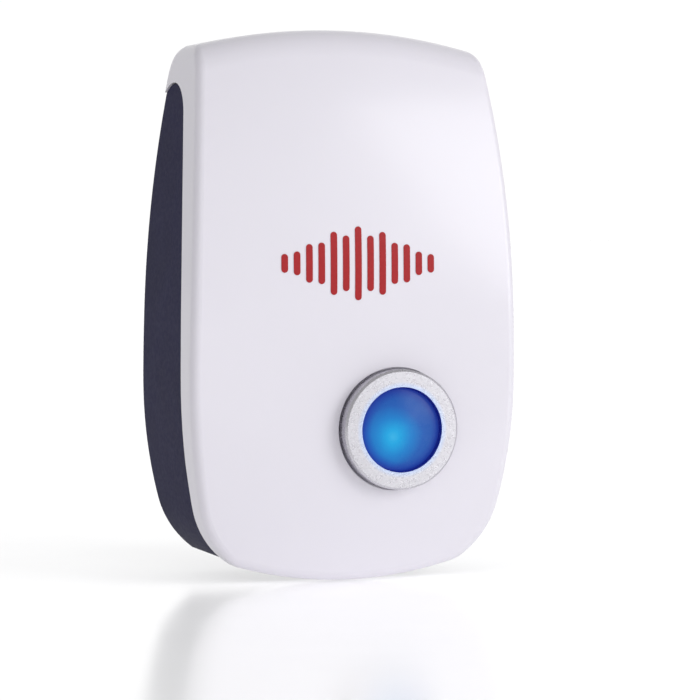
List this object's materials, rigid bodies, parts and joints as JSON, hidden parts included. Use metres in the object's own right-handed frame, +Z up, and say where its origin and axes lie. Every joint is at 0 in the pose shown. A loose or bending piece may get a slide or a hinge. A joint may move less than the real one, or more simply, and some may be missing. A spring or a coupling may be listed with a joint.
{
  "type": "ultrasonic pest repeller",
  "caption": "Plug-in ultrasonic pest repeller with a crowned white cover, dark housing, lit round button in a silver ring and a round-pin plug.",
  "frame": {"origin": "centre of the plug's engagement face, midway between the pins, in the plane that rests on the wall socket", "axes": "+Z up, -Y out of the front face, +Y along the pins into the socket, +X to the right of someone facing the front"},
  "size_m": [0.0574, 0.068, 0.092],
  "materials": {
    "white_cover": "gloss",
    "navy_housing": "satin",
    "silver_ring": "satin",
    "blue_lens": "gloss",
    "clear_plastic": "frosted",
    "white_nylon": "matte",
    "black_plastic": "matte",
    "red_ink": "gloss",
    "led_blue": "gloss",
    "board_green": "satin",
    "film_yellow": "gloss",
    "can_black": "gloss",
    "ferrite": "matte",
    "copper_winding": "gloss",
    "resistor_tan": "matte",
    "fuse_grey": "matte",
    "capacitor_blue": "gloss",
    "can_silver": "satin",
    "mesh_steel": "satin",
    "cone_alloy": "matte",
    "piezo_brass": "satin",
    "seal_rubber": "matte",
    "screen_fabric": "matte",
    "nickel_pin": "polished",
    "tag_brass": "satin",
    "wire_brown": "satin",
    "wire_blue": "satin",
    "wire_red": "satin",
    "wire_black": "satin",
    "screw_steel": "satin",
    "label_silver": "satin"
  },
  "bodies": {
    "case": {"front_cover": "white_cover", "rear_housing": "navy_housing", "front_emblem": "red_ink", "button_ring": "silver_ring", "button_guide": "white_nylon", "switch_body": "black_plastic", "indicator_leds": "led_blue", "main_board": "board_green", "film_capacitor": "film_yellow", "smoothing_capacitor": "can_black", "transformer_core": "ferrite", "transformer_winding": "copper_winding", "transformer_foot": "black_plastic", "driver_chip": "black_plastic", "resistors": "resistor_tan", "rectifier_diodes": "black_plastic", "fuse_resistor": "fuse_grey", "small_transistors": "black_plastic", "ceramic_capacitors": "capacitor_blue", "transducer_can": "can_silver", "transducer_mesh": "mesh_steel", "transducer_cone": "cone_alloy", "transducer_disc": "piezo_brass", "transducer_base": "black_plastic", "transducer_terminals": "tag_brass", "transducer_seal": "seal_rubber", "outlet_mesh": "screen_fabric", "plug_insert": "navy_housing", "plug_pin_left": "nickel_pin", "plug_pin_right": "nickel_pin", "pin_sleeve_left": "black_plastic", "pin_sleeve_right": "black_plastic", "solder_tags": "tag_brass", "mains_wire_left": "wire_brown", "mains_wire_right": "wire_blue", "transducer_wire_left": "wire_red", "transducer_wire_right": "wire_black", "case_screws": "screw_steel", "board_screws": "screw_steel", "rating_label": "label_silver"},
    "button": {"button_lens": "blue_lens", "button_carrier": "clear_plastic", "switch_plunger": "white_nylon"}
  },
  "joints": [
    {"name": "button_press", "type": "slide", "parent": "case", "child": "button", "axis": [0, 1, 0], "range_m": [0, 0.0008], "stiffness_N_per_m": 1500, "springref_m": -0.0004}
  ]
}
